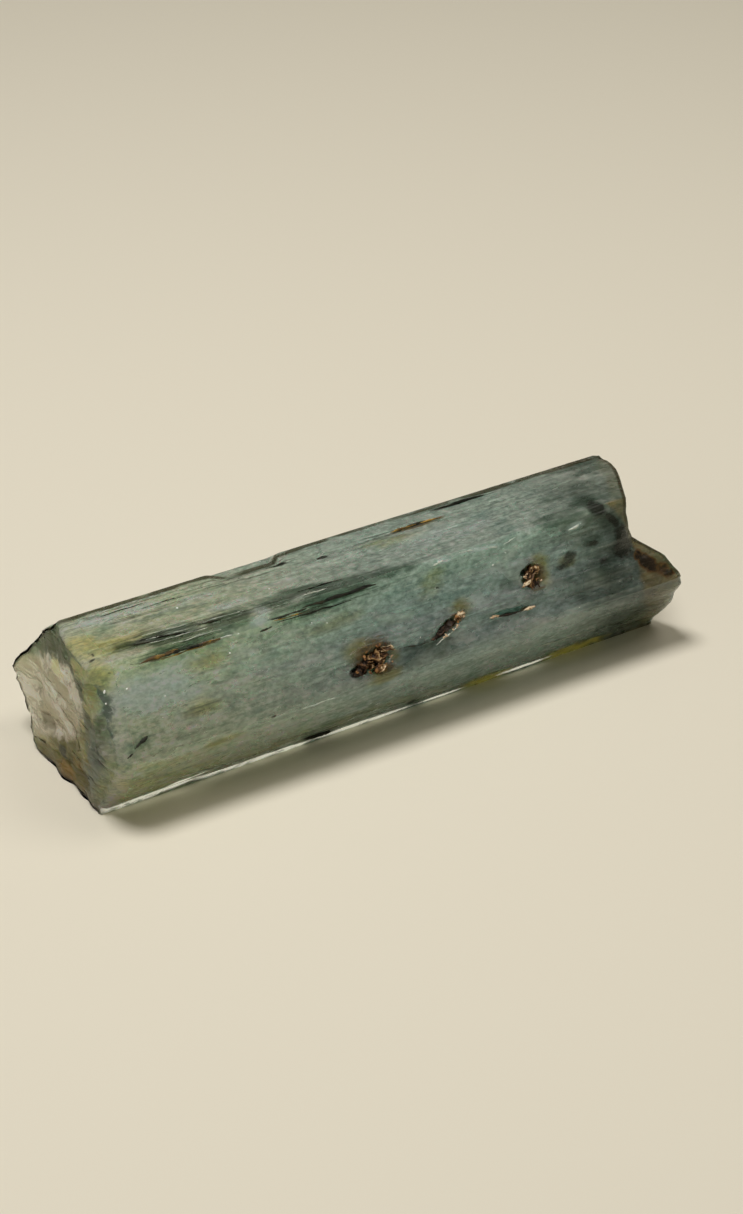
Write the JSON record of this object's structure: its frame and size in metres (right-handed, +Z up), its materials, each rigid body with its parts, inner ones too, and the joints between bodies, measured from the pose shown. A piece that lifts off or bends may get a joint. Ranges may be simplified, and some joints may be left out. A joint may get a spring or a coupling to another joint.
{
  "type": "aquamarine crystal",
  "caption": "Loose six-sided prism of pale blue-green beryl lying on a side face, with an etched left end, a broken right end and rust-stained pits.",
  "frame": {"origin": "bottom centre of the whole crystal's box, on the surface it lies on", "axes": "+X along the prism towards the broken end, +Y towards the rear, +Z up"},
  "size_m": [0.0434, 0.015, 0.0111],
  "materials": {
    "crystal": "satin, naturally etched and striated beryl, translucent, IOR 1.58"
  },
  "bodies": {
    "root": {"crystal": "crystal"}
  },
  "joints": []
}
